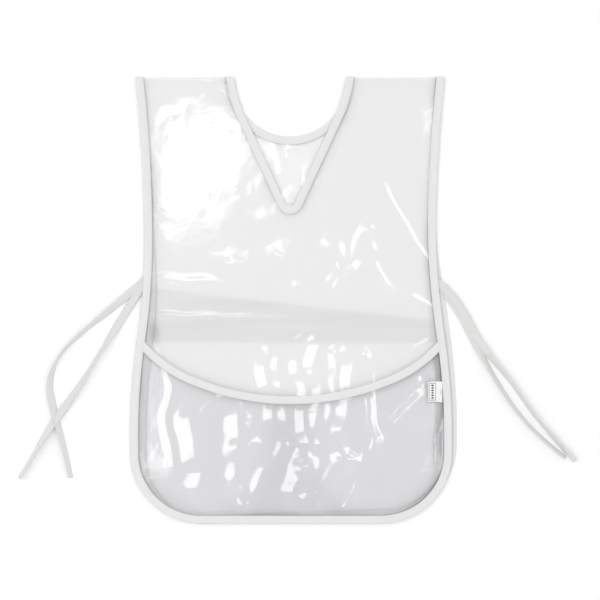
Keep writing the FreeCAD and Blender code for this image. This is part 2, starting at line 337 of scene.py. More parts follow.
def split_at(loop, on_cut):
    """The runs of a closed loop between its stretches where both ends are on the cut."""
    n = len(loop)
    first = next(k for k in range(n) if on_cut(loop[k]) and on_cut(loop[(k + 1) % n]))
    runs, run = [], [loop[(first + 1) % n]]
    for k in range(first + 1, first + 1 + n):
        here, there = loop[k % n], loop[(k + 1) % n]
        if on_cut(here) and on_cut(there):
            runs.append(run)
            run = [there]
        else:
            run.append(there)
    return [r for r in runs if len(r) > 2]


def lengths_along(points):
    """How far along the run each of its points lies."""
    along = [0.0]
    for a, b in zip(points, points[1:]):
        along.append(along[-1] + (b - a).length)
    return along


def even(run, step):
    """The run with evenly spaced points, slightly rounded."""
    points = [Vector(p) for p in run]
    along = lengths_along(points)
    count = max(2, round(along[-1] / step))
    places = np.linspace(0, along[-1], count + 1)
    columns = [np.interp(places, along, [p[k] for p in points]) for k in range(len(points[0]))]
    spread = [Vector(p) for p in zip(*columns)]
    for _ in range(2):
        inner = [(a + b * 2 + c) / 4 for a, b, c in zip(spread, spread[1:], spread[2:])]
        spread = spread[:1] + inner + spread[-1:]
    return spread


def inward_normals(run, inside_left=True):
    """Level unit vectors across the run, towards the film."""
    normals = []
    for k in range(len(run)):
        along = (run[min(k + 1, len(run) - 1)] - run[max(k - 1, 0)]).normalized()
        across = Vector((-along.y, along.x))
        normals.append(across if inside_left else -across)
    return normals


def belongs(obj, body, node=None):
    """The piece shows that CAD node, if any, whose own mesh is hidden, and rides that body."""
    if node:
        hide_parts(node)
    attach(obj, body)


# ---- how the film lies

# Folds, listed one by one: points it runs through, half width, height. A negative height is a hollow.
FRONT_FOLDS = [
    ([(-0.235, 0.032), (-0.15, 0.03), (-0.075, 0.02)], 0.0085, 0.0012),
    ([(-0.235, -0.024), (-0.12, -0.026), (0.01, -0.031)], 0.005, 0.0009),
    ([(-0.22, -0.004), (-0.1, -0.008), (0.03, -0.02)], 0.009, -0.0004),
    ([(0.14, 0.19), (0.185, 0.11), (0.203, 0.08), (0.232, 0.03)], 0.004, 0.00075),
    ([(0.01, 0.018), (0.06, 0.026), (0.095, 0.058), (0.119, 0.112)], 0.0095, 0.0017),
    ([(0.124, 0.11), (0.131, 0.062), (0.152, 0.018)], 0.0045, 0.0009),
    ([(0.15, 0.016), (0.19, 0.006), (0.232, -0.024), (0.236, -0.05)], 0.006, 0.0012),
    ([(-0.088, 0.058), (-0.076, 0.052)], 0.021, 0.0027),
    ([(-0.006, 0.066), (0.002, 0.06)], 0.024, 0.0034),
    ([(0.068, 0.082), (0.072, 0.066)], 0.018, 0.0029),
    ([(-0.04, 0.128), (-0.02, 0.138)], 0.01, 0.0008),
    ([(0.055, 0.145), (0.062, 0.13)], 0.008, 0.0007),
    ([(-0.178, 0.276), (-0.155, 0.262)], 0.009, 0.00065),
    ([(-0.2, 0.2), (-0.194, 0.172)], 0.011, 0.0008),
    ([(-0.124, 0.24), (-0.108, 0.226)], 0.0085, -0.0005),
    ([(-0.092, 0.29), (-0.076, 0.28)], 0.008, 0.0005),
    ([(-0.16, 0.19), (-0.14, 0.16)], 0.012, -0.0008),
    ([(-0.215, 0.305), (-0.19, 0.3)], 0.009, 0.0006),
    ([(0.12, 0.34), (0.15, 0.322), (0.2, 0.326)], 0.006, 0.0006),
    ([(0.12, 0.31), (0.136, 0.29)], 0.007, 0.0007),
    ([(-0.034, -0.09), (-0.034, -0.13)], 0.015, 0.003),
    ([(0.02, -0.07), (0.018, -0.11), (0.03, -0.15)], 0.016, 0.0036),
    ([(0.072, -0.085), (0.078, -0.15)], 0.014, 0.0032),
    ([(0.118, -0.08), (0.128, -0.15)], 0.0055, 0.0008),
    ([(0.118, -0.08), (0.17, -0.072), (0.205, -0.06)], 0.006, 0.0008),
    ([(0.15, -0.095), (0.195, -0.12)], 0.006, 0.0008),
]
POCKET_FOLDS = [
    ([(-0.196, -0.1), (-0.182, -0.136), (-0.196, -0.178), (-0.188, -0.23), (-0.178, -0.268)],
     0.0065, 0.00095),
    ([(-0.156, -0.188), (-0.152, -0.23), (-0.136, -0.266), (-0.146, -0.294), (-0.118, -0.332)],
     0.014, 0.0028),
    ([(-0.118, -0.15), (-0.132, -0.18)], 0.017, 0.0032),
    ([(-0.086, -0.152), (-0.082, -0.194), (-0.066, -0.22)], 0.019, 0.0042),
    ([(-0.082, -0.235), (-0.086, -0.28), (-0.074, -0.335)], 0.013, 0.0029),
    ([(-0.008, -0.226), (-0.038, -0.27), (-0.07, -0.322)], 0.01, 0.0023),
    ([(-0.02, -0.16), (-0.026, -0.184)], 0.016, 0.0034),
    ([(0.03, -0.156), (0.024, -0.204), (0.034, -0.226), (0.022, -0.256)], 0.015, 0.0038),
    ([(0.016, -0.27), (0.012, -0.3), (0.018, -0.33)], 0.018, 0.0044),
    ([(0.066, -0.154), (0.062, -0.204), (0.076, -0.24)], 0.014, 0.0035),
    ([(0.092, -0.25), (0.068, -0.274), (0.046, -0.3), (0.046, -0.33)], 0.015, 0.0038),
    ([(0.122, -0.142), (0.122, -0.184), (0.134, -0.216), (0.114, -0.266), (0.084, -0.336)], 0.007, 0.0017),
    ([(0.194, -0.142), (0.168, -0.162), (0.152, -0.186)], 0.008, 0.0015),
    ([(0.24, -0.184), (0.228, -0.22), (0.23, -0.275)], 0.005, 0.0023),
]
BACK_FOLDS = [
    ([(-0.022, 0.245), (-0.014, 0.2)], 0.006, 0.0006),
    ([(0.004, 0.24), (0.02, 0.236)], 0.009, 0.0007),
    ([(-0.002, 0.165), (0.004, 0.145)], 0.008, 0.0006),
    ([(0.024, 0.2), (0.03, 0.17)], 0.006, 0.0004),
]


def run_distance(x, y, run):
    """Signed distance from the run's nearest stretch, and how far along the run that is."""
    best, signed, along, passed = math.inf, 0.0, 0.0, 0.0
    for (ax, ay), (bx, by) in zip(run, run[1:]):
        run_x, run_y = bx - ax, by - ay
        length = math.hypot(run_x, run_y)
        t = min(max(((x - ax) * run_x + (y - ay) * run_y) / length**2, 0.0), 1.0)
        away = math.hypot(x - ax - t * run_x, y - ay - t * run_y)
        if away < best:
            side = (x - ax) * run_y - (y - ay) * run_x
            best = away
            signed = math.copysign(away, side)
            along = passed + t * length
        passed += length
    return signed, along


def fold_height(x, y, folds):
    """The sum of the folds' smooth ridges at that place. Each wanders and ebbs a little along its run."""
    total = 0.0
    for run, width, height in folds:
        reach = 4 * width
        if not min(p[0] for p in run) - reach < x < max(p[0] for p in run) + reach:
            continue
        if not min(p[1] for p in run) - reach < y < max(p[1] for p in run) + reach:
            continue
        off, along = run_distance(x, y, run)
        wander = 0.22 * width * math.sin(along * 95 + run[0][0] * 90)
        ebb = 0.90 + 0.10 * math.sin(along * 60 + run[0][1] * 70)
        total += height * ebb * math.exp(-(((off + wander) / width) ** 2))
    return total


def waves(x, y, seed, long_height, short_height, fine_height=0.0):
    """Uneven waves of three lengths, each with its own height."""
    long_wave = noise.noise(Vector((x * 6.0, y * 5.0, seed)))
    short_wave = noise.noise(Vector((x * 19, y * 13, seed + 7.3)))
    fine_wave = noise.noise(Vector((x * 52, y * 40, seed + 2.1)))
    return long_height * long_wave + short_height * short_wave + fine_height * fine_wave


def near_shoulder(y):
    """0 at the shoulder fold and 1 from 40 mm below it."""
    return smooth((PANEL_TOP - y) / 0.04)


class Panel:
    """One layer of the garment: where a point of its flat cut lies on the table."""

    def __init__(self, body, rest, outward, height, drift=False):
        """Rest is its height over the table. Outward is 1 if its outer face is up and -1 if down."""
        self.body = body
        self.rest = rest
        self.outward = outward
        self.height = height
        self.drift = drift
        self.fold_radius = abs(rest - FOLD.z)

    def place(self, x, y, lift=0.0):
        """The point lift above the film where the flat cut has (x, y). Past the top it rounds the fold."""
        if y > PANEL_TOP:
            turn = min((y - PANEL_TOP) / self.fold_radius, CREST_TURN)
            radius = self.fold_radius + lift * self.outward
            z = FOLD.z + self.outward * radius * math.cos(turn)
            return Vector((x, PANEL_TOP + radius * math.sin(turn), z))
        z = self.rest + near_shoulder(y) * self.height(x, y) + lift
        share = smooth((DRIFT_TOP - y) / DRIFT_REACH)
        if self.drift:
            x, y = x + BACK_DRIFT * share, y + share * (BACK_UP + BACK_RISE * x / HIP_HALF)
        else:
            x += FRONT_SPREAD * share * smooth(x / HIP_HALF)
        return Vector((x, y, z))


def edge_gap(x, y):
    """How far inside the garment's sides, rounded lower corners and hem the place lies."""
    beside = abs(x) - (HIP_HALF - CORNER_RADIUS)
    below = GARMENT_LOW[1] + CORNER_RADIUS - y
    if beside > 0 and below > 0:
        return CORNER_RADIUS - math.hypot(beside, below)
    return CORNER_RADIUS - max(beside, below)


def edge_distance(x, y):
    """0 up to 6 mm inside the garment's sides and hem, 1 from 56 mm inside them."""
    return smooth((edge_gap(x, y) - 0.006) / 0.05)


def past_tape(x, y):
    """0 under the edge tape and 1 from 16 mm inside it."""
    return smooth((edge_gap(x, y) - 0.0105) / 0.017)


def back_height(x, y):
    own = 0.0006 + abs(waves(x, y, 3.1, 0.0012, 0.0003)) + fold_height(x, y, BACK_FOLDS)
    return own * edge_distance(x, y)


def front_height(x, y):
    """Long waves and folds, with more short ones in the crumpled patch left of the neck."""
    inside = 0.25 + 0.75 * edge_distance(x, y)
    rough = 1 + 2.4 * smooth(1.5 - math.hypot(x + 0.145, (y - 0.225) / 1.2) / 0.10)
    wave = waves(x, y, 11.7, 0.0007, 0.00022 * rough, 0.00011 * rough) + fold_height(x, y, FRONT_FOLDS)
    return max(-0.0014, -0.0002 + inside * wave)


def mouth_gape(x, y):
    """0 where the pocket's film is sewn to the front and 1 where it is free to stand off it."""
    from_side = smooth((HIP_HALF - 0.02 - abs(x)) / 0.09)
    from_hem = smooth((y - GARMENT_LOW[1] - 0.012) / 0.10)
    return from_side * from_hem


def pocket_height(x, y):
    """It follows the front in part, and gapes, waves and folds on its own, least beside its mouth's tape."""
    gape = mouth_gape(x, y)
    own = 0.0006 * gape + max(0.0, gape * (0.0007 + waves(x, y, 23.9, 0.0012, 0.0004, 0.00016)))
    share = 1 - 0.6 * past_tape(x, y)
    below_mouth = math.hypot(x, y - MOUTH_CENTRE) - MOUTH_RADIUS
    own_folds = (0.45 + 0.55 * smooth((below_mouth - 0.004) / 0.022)) * fold_height(x, y, POCKET_FOLDS)
    return share * front_height(x, y) + own + past_tape(x, y) * max(-0.0012, own_folds)


BACK = Panel("back", BACK_FILM, -1, back_height, drift=True)
FRONT = Panel("front", FRONT_FILM, 1, front_height)
POCKET = Panel("front", FRONT_FILM + POCKET_GAP, 1, pocket_height)


# ---- film

def film_sheet(name, node, panel, material, folds, shade, painted_seam_shade=1.0):
    """The CAD outline, filled with even triangles and laid down by the panel."""
    loop = flat_outline(node)
    outline = []
    for a, b in zip(loop, loop[1:] + loop[:1]):
        outline += even([a, b], MESH_STEP)[:-1] if (b - a).length > 1.5 * MESH_STEP else [a]
    low = Vector((min(p.x for p in outline), min(p.y for p in outline)))
    high = Vector((max(p.x for p in outline), max(p.y for p in outline)))
    inner = triangle_points(low, high) + crease_points(folds)
    inner = [p for p in inner if low.x < p.x < high.x and low.y < p.y < high.y]
    if high.y > FOLD_LINE:
        outline, more = over_the_shoulder(outline, panel)
        inner += more
    points, _, faces, *_ = delaunay_2d_cdt(outline + inner, [], [list(range(len(outline)))], 1, 1e-6)
    sheet = new_object(name, [panel.place(p.x, p.y) for p in points], faces, material)
    if sheet.data.polygons[len(faces) // 2].normal.z < 0:
        sheet.data.flip_normals()
    set_values(sheet, "inset", taped_distance(points, loop))
    # Painted shade: these values darken the film's colour beside its tape, in a fold band, beside a fold and
    # towards corners.
    set_values(sheet, "painted_seam_shade", [painted_seam_shade * painted_seam_shade_at(p.x, p.y) for p in points])
    set_values(sheet, "shade", [shade(p.x, p.y) for p in points])
    belongs(sheet, panel.body, node)
    return sheet


def triangle_points(low, high):
    """The corners of even triangles that fill that rectangle."""
    points = []
    for row in range(int((high.y - low.y) / (MESH_STEP * ROW_SHARE)) + 1):
        y = low.y + row * MESH_STEP * ROW_SHARE
        for column in range(int((high.x - low.x) / MESH_STEP) + 2):
            points.append(Vector((low.x + (column + 0.5 * (row % 2)) * MESH_STEP, y)))
    return points


def crease_points(folds):
    """Rows of mesh points that follow each sharp fold."""
    points = []
    for run, width, _ in folds:
        if width > SHARP_FOLD:
            continue
        row = even(run, CREASE_STEP)
        normals = inward_normals(row)
        for share in CREASE_ROWS:
            points += [p + n * (share * width) for p, n in zip(row, normals)]
    return points


def fold_steps(panel):
    """Heights of the cut past the panel's flat, up to the crest of the shoulder fold."""
    roll = panel.fold_radius * math.pi / 2
    return [PANEL_TOP + roll * k / FOLD_ROWS for k in range(1, FOLD_ROWS + 1)]


def over_the_shoulder(outline, panel):
    """The outline carried on to the crest of the shoulder fold, and the mesh points to fill it with there."""
    steps = fold_steps(panel)
    rolled = []
    for a, b in zip(outline, outline[1:] + outline[:1]):
        rolled.append(a)
        if a.y > FOLD_LINE and b.y > FOLD_LINE:
            rolled += [Vector((a.x, steps[-1])), Vector((b.x, steps[-1]))]
    rolled = without_spurs(rolled)
    xs = sorted({round(p.x, 6) for p in rolled if p.y > FOLD_LINE})
    return rolled, [Vector((x, y)) for x in xs for y in steps[:-1]]


def without_spurs(loop):
    """The loop without doubled points and steps that go back on themselves."""
    kept = []
    for p in loop:
        if kept and (p - kept[-1]).length < 1e-5:
            continue
        if len(kept) > 1 and (p - kept[-2]).length < 1e-5:
            kept.pop()
            continue
        kept.append(p)
    return kept


def taped_distance(points, loop):
    """How far each point lies from the loop's taped stretches, which are all but the shoulder folds."""
    places = np.array([tuple(p) for p in points])
    nearest = np.full(len(places), 1.0)
    for a, b in zip(loop, loop[1:] + loop[:1]):
        if a.y > FOLD_LINE and b.y > FOLD_LINE:
            continue
        run = np.array(tuple(b - a))
        t = np.clip((places - np.array(tuple(a))) @ run / max(run @ run, 1e-12), 0, 1)
        gap = places - np.array(tuple(a)) - t[:, None] * run
        nearest = np.minimum(nearest, np.hypot(gap[:, 0], gap[:, 1]))
    return nearest


def painted_seam_shade_at(x, y):
    """How strong the painted shade along the film's tape is: most down the right side."""
    level = 0.26 + 0.40 * noise.noise(Vector((x * 9, y * 9, 4.4)))
    level += 0.55 * smooth((x - 0.15) / 0.05) * smooth((0.16 - y) / 0.08)
    level -= 0.12 * smooth((-0.30 - y) / 0.03)
    return min(max(level, 0.10), 1.0)


def front_shade(x, y):
    """Painted shade: a band across the front where it was folded for its bag, as wide as the front and
    narrower to the right, and a small patch by the left side tape just above the pocket's mouth.
    """
    t = min(max((x + 0.215) / 0.44, 0.0), 1.0)
    middle, half = -0.024 - 0.026 * t, 0.042 - 0.024 * t
    inside = smooth((half - abs(y - middle)) / 0.008 + 0.5)
    streak = 0.72 + 0.45 * noise.noise(Vector((x * 5, y * 85, 1.9)))
    mark = 0.27 * inside * streak
    corner = smooth(1 - math.hypot((x + 0.212) / 0.014, (y + 0.052) / 0.030))
    return min(1.0, mark + 0.55 * corner)


def pocket_shade(x, y):
    """Painted shade: a dark strip beside the right side tape, over the fold there, and darker towards the
    lower corners.
    """
    pleat_shade = smooth((x - 0.219 - 0.004 * math.sin(y * 30)) / 0.006) * smooth((-0.070 - y) / 0.02)
    pleat_shade *= smooth((y + 0.275) / 0.05) * (0.8 + 0.4 * noise.noise(Vector((x * 60, y * 14, 2.2))))
    corner = smooth((math.hypot(abs(x) - 0.130, min(0.0, y + 0.235)) - 0.080) / 0.03)
    return min(1.0, 0.85 * pleat_shade + 0.16 * corner * smooth((-0.1 - y) / 0.05))


def no_shade(x, y):
    return 0.0


def set_values(obj, name, values):
    layer = obj.data.attributes.new(name, "FLOAT", "POINT")
    layer.data.foreach_set("value", [float(v) for v in values])


def runs_of(node):
    """The sheet's edge run, from one shoulder round the hem to the other, and its neck run."""
    runs = split_at(flat_outline(node), lambda p: p.y > FOLD_LINE)
    runs.sort(key=lambda run: min(p.y for p in run))
    return runs


def over_the_fold(run, panel):
    """The run, carried on at both ends to the crest of the shoulder fold."""
    steps = fold_steps(panel)
    head = [Vector((run[0].x, y)) for y in reversed(steps)]
    tail = [Vector((run[-1].x, y)) for y in steps]
    return head + run + tail


# ---- sweeps

def sweep_faces(rings, size):
    """The sides and the two ends of a sweep whose rings have that many points each."""
    sides = []
    for k in range(rings - 1):
        for j in range(size):
            a, b = k * size + j, k * size + (j + 1) % size
            sides.append((a, b, b + size, a + size))
    ends = [tuple(range(size)), tuple(reversed(range((rings - 1) * size, rings * size)))]
    return sides, ends


def closed_sweep(name, points, size, material, uvs):
    sides, ends = sweep_faces(len(points) // size, size)
    obj = new_object(name, points, sides + ends, material, uvs)
    fix_normals(obj)
    return obj


def fix_normals(obj):
    """Normals point out of the closed piece."""
    mesh = bmesh.new()
    mesh.from_mesh(obj.data)
    bmesh.ops.recalc_face_normals(mesh, faces=mesh.faces)
    mesh.to_mesh(obj.data)
    mesh.free()
    obj.data.shade_smooth()


def profile_lengths(profile):
    """How far across the cloth each point of its profile lies."""
    across = [0.0]
    for a, b in zip(profile, profile[1:]):
        across.append(across[-1] + math.dist(b, a))
    return across


# ---- tape

def tape_profile(top):
    """The folded tape's outer shape across it: (inset from its fold, lift from the film)."""
    bottom = -TAPE_LIFT
    dip = 0.00012          # the stitches pull the tape down by this
    upper = [(BAND, top * 0.3), (BAND - 0.0002, top * 0.92), (STITCH_INSET + 0.0007, top),
             (STITCH_INSET, top - dip), (STITCH_INSET - 0.0008, top), (0.006, top + 0.00016),
             (0.0025, top + 0.00012), (0.0008, top * 0.95), (0.0001, top * 0.6)]
    lower = [(-0.0001, 0.0), (0.0001, bottom * 0.6), (0.0008, bottom * 0.95), (0.004, bottom),
             (BAND - 0.0002, bottom), (BAND, bottom * 0.3)]
    return upper + lower


def pucker(s, seed):
    """Small uneven waves that sewing leaves along a tape."""
    short_wave = noise.noise(Vector((s * 75, seed, 0.5)))
    long_wave = noise.noise(Vector((s * 22, seed, 9.5)))
    return short_wave * 0.00035 + long_wave * 0.0004


def plain_lift(p):
    return TAPE_LIFT


def front_edge_lift(p):
    """The front's edge tape is thicker where it also holds the pocket, and most over the mouth's tape."""
    over_mouth_tape = 0.0008 * smooth(1.6 - abs(MOUTH_CORNER - 0.006 - p.y) / 0.009)
    return TAPE_LIFT + POCKET_GAP * smooth((MOUTH_CORNER + 0.006 - p.y) / 0.012) + over_mouth_tape


def tape(name, node, run, panel, material, seed, lift=plain_lift, inside_left=True):
    """A tape folded over the run, as a closed sweep. Its fold puckers, its stitched edge doesn't."""
    points, uvs = [], []
    for p, inward, s in zip(run, inward_normals(run, inside_left), lengths_along(run)):
        profile = tape_profile(lift(p))
        wave = max(0.0, pucker(s, seed) * near_shoulder(p.y))
        for (inset, height), across in zip(profile, profile_lengths(profile)):
            spot = p + inward * (inset - TAPE_OVERHANG)
            if p.y > PANEL_TOP:
                spot.y = p.y
            loose = 1 - smooth((inset - 0.002) / 0.006)
            points.append(panel.place(spot.x, spot.y, height + wave * loose))
            uvs.append((s, across))
    obj = closed_sweep(name, points, len(profile), material, uvs)
    belongs(obj, panel.body, node)


# ---- stitches

# A stitch dips into the cloth at both ends: (share of its length, height and size in radii).
CAPSULE_RINGS = [(0.0, -0.6, 0.55), (0.2, 0.35, 1.0), (0.8, 0.35, 1.0), (1.0, -0.6, 0.55)]
CAPSULE_SIDES = 6


def capsule(start, end, radius):
    """The points of one stitch."""
    along = end - start
    across = along.cross(UP).normalized()
    points = []
    for t, height, size in CAPSULE_RINGS:
        centre = start + along * t + UP * (radius * height)
        for k in range(CAPSULE_SIDES):
            turn = math.tau * k / CAPSULE_SIDES
            points.append(centre + (across * math.cos(turn) + UP * math.sin(turn)) * (radius * size))
    return points


def stitch_mesh(name, pairs, radius, material):
    """One object that has a stitch between the points of each pair."""
    sides, ends = sweep_faces(len(CAPSULE_RINGS), CAPSULE_SIDES)
    rounds = sides + [end[::-1] for end in ends]
    points, faces = [], []
    for start, end in pairs:
        faces += [tuple(v + len(points) for v in face) for face in rounds]
        points += capsule(start, end, radius)
    return new_object(name, points, faces, material)


def stitches(name, node, path, body, material, radius=THREAD_RADIUS):
    """A row of stitches along a path of 3-D points."""
    along = lengths_along(path)
    columns = [[p[k] for p in path] for k in range(3)]

    def spot(s):
        return Vector([float(np.interp(s, along, column)) for column in columns])

    pairs = []
    s = STITCH_STEP / 2
    while s + STITCH_LENGTH < along[-1]:
        jitter = noise.noise(Vector((s * 400, radius * 1e4, 1.0))) * STITCH_JITTER
        pairs.append((spot(s + jitter), spot(s + STITCH_LENGTH)))
        s += STITCH_STEP
    row = stitch_mesh(name, pairs, radius, material)
    belongs(row, body, node)
    return row


def stitch_path(run, panel, lift=plain_lift, inside_left=True):
    """Where a tape's stitches run, up to the shoulder seam."""
    path = []
    for p, inward in zip(run, inward_normals(run, inside_left)):
        if p.y > PANEL_TOP - 0.001:
            continue
        spot = p + inward * (STITCH_INSET - TAPE_OVERHANG)
        path.append(panel.place(spot.x, spot.y, lift(p) + STITCH_LIFT))
    return path


# ---- ties

# Steps outward and downward from each root, and the height over the table there, in millimetres.
TIE_ROUTES = {
    "front_left": [(0, 0, 3.0), (36, 58, 1.3), (75, 118, 0.9), (105, 169, 1.2), (148, 228, 3.4),
                   (177, 275, 0.9), (199, 313, 0.7)],
    "back_left": [(0, 0, 1.8), (45, 40, 0.9), (97, 81, 0.7), (138, 119, 0.7), (155, 165, 0.6),
                  (146, 208, 0.5), (130, 260, 0.6), (119, 312, 0.7)],
    "front_right": [(0, 0, 3.0), (29, 24, 3.3), (50, 58, 3.3), (77, 110, 3.1), (117, 154, 1.2),
                    (153, 208, 0.9), (188, 249, 0.8), (222, 286, 0.8)],
    "back_right": [(0, 0, 1.8), (24, 26, 2.1), (47, 63, 2.1), (70, 109, 1.9), (97, 158, 0.6),
                   (130, 208, 0.6), (169, 251, 0.6), (207, 281, 0.7)],
}
# How far each tie is turned on edge, in degrees, at shares of its length.
TIE_TURNS = {
    "front_left": [(0, 0), (0.16, 6), (0.24, 12), (0.34, 56), (0.46, 60), (0.58, 30), (0.66, 12), (0.76, 30),
                   (0.88, 60), (1, 52)],
    "back_left": [(0, 0), (0.14, -15), (0.32, -60), (0.50, -72), (0.58, -45), (0.66, -12), (0.78, -45),
                  (0.90, -58), (1, -64)],
    "front_right": [(0, 0), (0.12, 8), (0.32, 10), (0.42, 45), (0.60, 58), (0.80, 60), (1, 50)],
    "back_right": [(0, 0), (0.12, 6), (0.32, 8), (0.44, -45), (0.60, -55), (0.80, -62), (1, -55)],
}
SEAM_CORNER = 3        # of the tie's section, where its stitches lie
TIE_WOBBLE = 6         # degrees that its turn varies by
ROOT_SHARE = 0.12      # of its length, where it rises onto its edge
TACK_STITCHES = 24
TACK_LENGTH = 0.008
TACK_REACH = 0.0011    # half the zigzag's width
TACK_LIFT = 0.0001


def tie_route(tie):
    """The tie's steps in metres, which are the control points of a spline."""
    root = joint_place(f"{tie}_tie_swing")
    side = math.copysign(1, root.x)
    return [Vector((root.x + side * out / 1000, root.y - down / 1000, z / 1000))
            for out, down, z in TIE_ROUTES[tie]]


def spline_points(control):
    """Points along the NURBS spline with those control points."""
    curve = bpy.data.curves.new("route", "CURVE")
    curve.dimensions = "3D"
    curve.resolution_u = 24
    spline = curve.splines.new("NURBS")
    spline.points.add(len(control) - 1)
    for target, p in zip(spline.points, control):
        target.co = (*p, 1)
    spline.order_u = 3
    spline.use_endpoint_u = True
    holder = bpy.data.objects.new("route", curve)
    bpy.context.scene.collection.objects.link(holder)
    bpy.context.view_layer.update()
    mesh = bpy.data.meshes.new_from_object(holder)
    points = [v.co.copy() for v in mesh.vertices]
    bpy.data.objects.remove(holder)
    bpy.data.curves.remove(curve)
    bpy.data.meshes.remove(mesh)
    return points


def tie_section():
    """Across the tie: a tape folded in two, with a row of stitches pressed in beside its open edge."""
    half, thick = TIE_WIDTH / 2, TIE_THICK / 2
    upper = [(-half, 0.0), (-half + 0.0004, thick), (-half + 0.0016, thick), (-half + 0.0021, thick * 0.55),
             (-half + 0.0027, thick), (0.0, thick * 1.15), (half - 0.0007, thick * 0.9), (half, 0.0)]
    return upper + [(x, -z) for x, z in reversed(upper[1:-1])]


def make_tie(tie, material, thread):
    """A flat double tape along its route, turned on edge in places, never below the table."""
    path = even(spline_points(tie_route(tie)), RUN_STEP)
    shares, turns = zip(*TIE_TURNS[tie])
    section = tie_section()
    seam_x, seam_z = section[SEAM_CORNER]
    points, uvs, centres, seam = [], [], [], []
    for k, (p, s) in enumerate(zip(path, lengths_along(path))):
        share = k / (len(path) - 1)
        wobble = TIE_WOBBLE * noise.noise(Vector((s * 25, p.x, 0)))
        turn = math.radians(float(np.interp(share, shares, turns)) + wobble)
        along = (path[min(k + 1, len(path) - 1)] - path[max(k - 1, 0)]).normalized()
        level = Vector((-along.y, along.x, 0)).normalized()
        across = level * math.cos(turn) + UP * math.sin(turn)
        out = along.cross(across)
        lift = abs(math.sin(turn)) * TIE_WIDTH / 2
        centre = p + Vector((0, 0, lift * smooth(share / ROOT_SHARE)))
        centres.append(centre)
        for (x, z), reach in zip(section, profile_lengths(section)):
            points.append(centre + across * x + out * z)
            uvs.append((s, reach))
        seam.append(centre + across * seam_x + out * abs(seam_z))
    obj = closed_sweep(f"waist_tie_{tie}", points, len(section), material, uvs)
    body = f"{tie}_tie"
    belongs(obj, body, f"tie_{tie}")
    row = stitches(f"waist_tie_stitches_{tie}", None, seam, body, thread, TIE_THREAD_RADIUS)


def bar_tack(tie, thread):
    """The dense zigzag that holds a tie's sewn end."""
    low, high = (Vector(corner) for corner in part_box(f"bar_tack_{tie}"))
    middle = ((low + high) / 2).xy
    along = (middle - joint_place(f"{tie}_tie_swing").xy).normalized()
    across = Vector((-along.y, along.x))
    path = []
    for k in range(TACK_STITCHES + 1):
        t = k / TACK_STITCHES - 0.5
        spot = middle + across * (t * TACK_LENGTH) + along * (TACK_REACH if k % 2 else -TACK_REACH)
        path.append(Vector((spot.x, spot.y, low.z + TACK_LIFT)))
    obj = stitch_mesh(f"bar_tack_thread_{tie}", zip(path, path[1:]), TACK_THREAD_RADIUS, thread)
    belongs(obj, f"{tie}_tie", f"bar_tack_{tie}")


# ---- label

LABEL_LOW, LABEL_HIGH = (Vector(corner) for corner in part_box("care_label"))
LABEL_WIDTH = LABEL_HIGH.x - LABEL_LOW.x
LABEL_LENGTH = LABEL_HIGH.y - LABEL_LOW.y
LABEL_COLUMNS, LABEL_ROWS = 14, 16
LABEL_REST = 0.0005    # label's middle over the pocket's film
LABEL_HALF = 0.00022   # half its thickness
ROOT_TUCK = 0.0004     # its sewn root lies that much lower
TAIL_DROP = 0.0003     # and the strip under the tape that much lower still
TAIL_SPOTS = (0.01, -0.12, -0.26)  # across that strip, in widths of the label
MARK_LIFT = 0.00008    # pattern over the label's face
DIAMOND_LIFT = 0.0001  # a diamond's middle over it
BORDER_U = (0.30, 0.88)  # where the border's bars begin, as shares of the label
BORDER_V = (0.08, 0.895)
BAR_U, BAR_V = 0.035, 0.022
BAR_STEPS = 8
DIAMOND_REACH = (0.16, 0.045)


def label_spot(u, v, side):
    """A point of its upper (1) or lower (-1) face: u from its root to its free end, v upward."""
    x = LABEL_HIGH.x - u * LABEL_WIDTH
    y = LABEL_LOW.y + v * LABEL_LENGTH + 0.0006 * math.sin(u * 3 + v)
    ground = POCKET.place(x - FRONT_SPREAD * smooth(x / HIP_HALF), y).z
    curl = 0.0018 * u**2 + 0.0005 * math.sin(v * math.pi) * u
    tuck = ROOT_TUCK * (1 - smooth(u / 0.2))
    return Vector((x, y, ground + LABEL_REST - tuck + curl + side * LABEL_HALF))


def label_ribbon(material):
    """The part that turns about its root, as a closed piece."""
    points, uvs, faces = [], [], []
    for side in (1, -1):
        for i in range(LABEL_COLUMNS + 1):
            for j in range(LABEL_ROWS + 1):
                u, v = i / LABEL_COLUMNS, j / LABEL_ROWS
                points.append(label_spot(u, v, side))
                uvs.append((u * LABEL_WIDTH, v * LABEL_LENGTH))
    column = LABEL_ROWS + 1
    size = (LABEL_COLUMNS + 1) * column
    for side in range(2):
        for i in range(LABEL_COLUMNS):
            for j in range(LABEL_ROWS):
                a = side * size + i * column + j
                quad = (a, a + 1, a + column + 1, a + column)
                faces.append(quad if side else quad[::-1])
    rim = [(0, j) for j in range(LABEL_ROWS)] + [(i, LABEL_ROWS) for i in range(LABEL_COLUMNS)]
    rim += [(LABEL_COLUMNS, j) for j in range(LABEL_ROWS, 0, -1)]
    rim += [(i, 0) for i in range(LABEL_COLUMNS, 0, -1)]
    rim = [i * column + j for i, j in rim]
    for a, b in zip(rim, rim[1:] + rim[:1]):
        faces.append((a, b, b + size, a + size))
    obj = new_object("side_label", points, faces, material, uvs)
    fix_normals(obj)
    belongs(obj, "label", "care_label")


def label_root(material):
    """The strip that is sewn in under the tape."""
    points, faces = [], []
    for j in range(LABEL_ROWS + 1):
        for u in TAIL_SPOTS:
            place = label_spot(u, j / LABEL_ROWS, 1)
            points.append(place if u > 0 else place - Vector((0, 0, TAIL_DROP)))
    row = len(TAIL_SPOTS)
    for j in range(LABEL_ROWS):
        for k in range(row - 1):
            a = j * row + k
            faces.append((a, a + 1, a + row + 1, a + row))
    obj = new_object("side_label_root", points, faces, material, [(p.x, p.y) for p in points])
    belongs(obj, "front")


